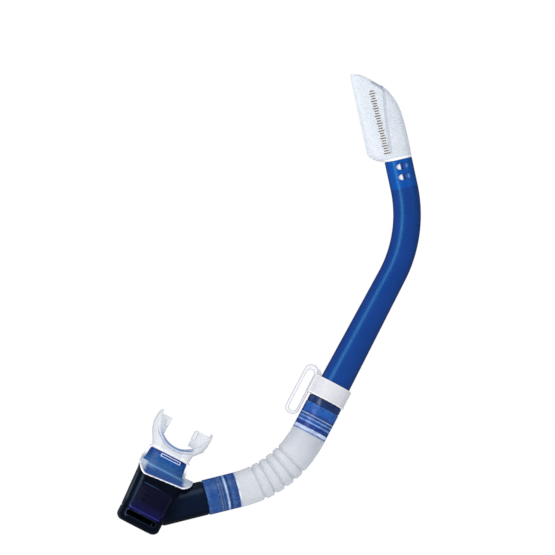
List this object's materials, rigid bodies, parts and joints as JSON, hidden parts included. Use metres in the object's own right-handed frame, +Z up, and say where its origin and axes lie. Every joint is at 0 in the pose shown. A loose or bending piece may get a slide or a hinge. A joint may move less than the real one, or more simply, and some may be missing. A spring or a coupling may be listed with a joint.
{
  "type": "snorkel tube",
  "caption": "J-shaped snorkel with splash hood, oval barrel, strap keeper, corrugated flex hose on swivel couplers, purge chamber and soft mouthpiece.",
  "frame": {"origin": "middle of the strap slot's inner face, where the mask strap that holds the snorkel bears", "axes": "+Z up along the worn direction of the hood, +X from the mouthpiece towards the barrel, +Y to the back; the tube's whole centre line lies in the XZ plane"},
  "size_m": [0.2789, 0.0345, 0.4239],
  "materials": {
    "barrel_blue": "translucent, polished",
    "coupler_blue": "translucent, polished",
    "hood_clear": "clear, polished",
    "keeper_white": "fine moulded texture",
    "chamber_dark": "dark smoky translucent, polished",
    "panel_blue": "satin",
    "silicone_clear": "clear soft silicone",
    "seal_black": "smooth",
    "ring_white": "smooth"
  },
  "bodies": {
    "keeper": {"keeper_clip": "keeper_white"},
    "upper_tube": {"barrel": "barrel_blue", "hood_front_shell": "hood_clear", "hood_rear_shell": "hood_clear", "hood_baffle": "hood_clear", "drain_sleeve": "hood_clear", "upper_oring": "seal_black", "upper_snap_ring": "ring_white"},
    "hose_top": {"upper_coupler": "coupler_blue", "flex_hose": "silicone_clear"},
    "hose_foot": {"lower_coupler": "coupler_blue"},
    "chamber": {"chamber_housing": "chamber_dark", "front_panel": "panel_blue", "purge_cover": "chamber_dark", "valve_seat": "chamber_dark", "mouthpiece_adapter": "coupler_blue", "adapter_seal": "seal_black", "mouthpiece": "silicone_clear", "lower_oring": "seal_black", "lower_snap_ring": "ring_white"},
    "purge_valve": {"purge_diaphragm": "silicone_clear"}
  },
  "joints": [
    {"name": "keeper_slide", "type": "slide", "parent": "keeper", "child": "upper_tube", "axis": [-0.4648, 0, -0.8854], "range_m": [0, 0.09]},
    {"name": "upper_swivel", "type": "hinge", "parent": "upper_tube", "child": "hose_top", "pos_m": [-0.00166, 0, -0.04769], "axis": [0.4648, 0, 0.8854], "continuous": true},
    {"name": "hose_bend", "type": "hinge", "parent": "hose_top", "child": "hose_foot", "pos_m": [-0.02874, 0, -0.08028], "axis": [0, 1, 0], "range_deg": [-40, 30], "stiffness_Nm_per_rad": 0.5, "springref_deg": 7.16, "deforming": ["flex_hose"]},
    {"name": "lower_swivel", "type": "hinge", "parent": "hose_foot", "child": "chamber", "pos_m": [-0.09747, 0, -0.10651], "axis": [0.9703, 0, 0.2419], "continuous": true},
    {"name": "purge_lift", "type": "slide", "parent": "chamber", "child": "purge_valve", "axis": [-0.4555, 0, -0.8902], "range_m": [0, 0.0015], "stiffness_N_per_m": 15}
  ]
}
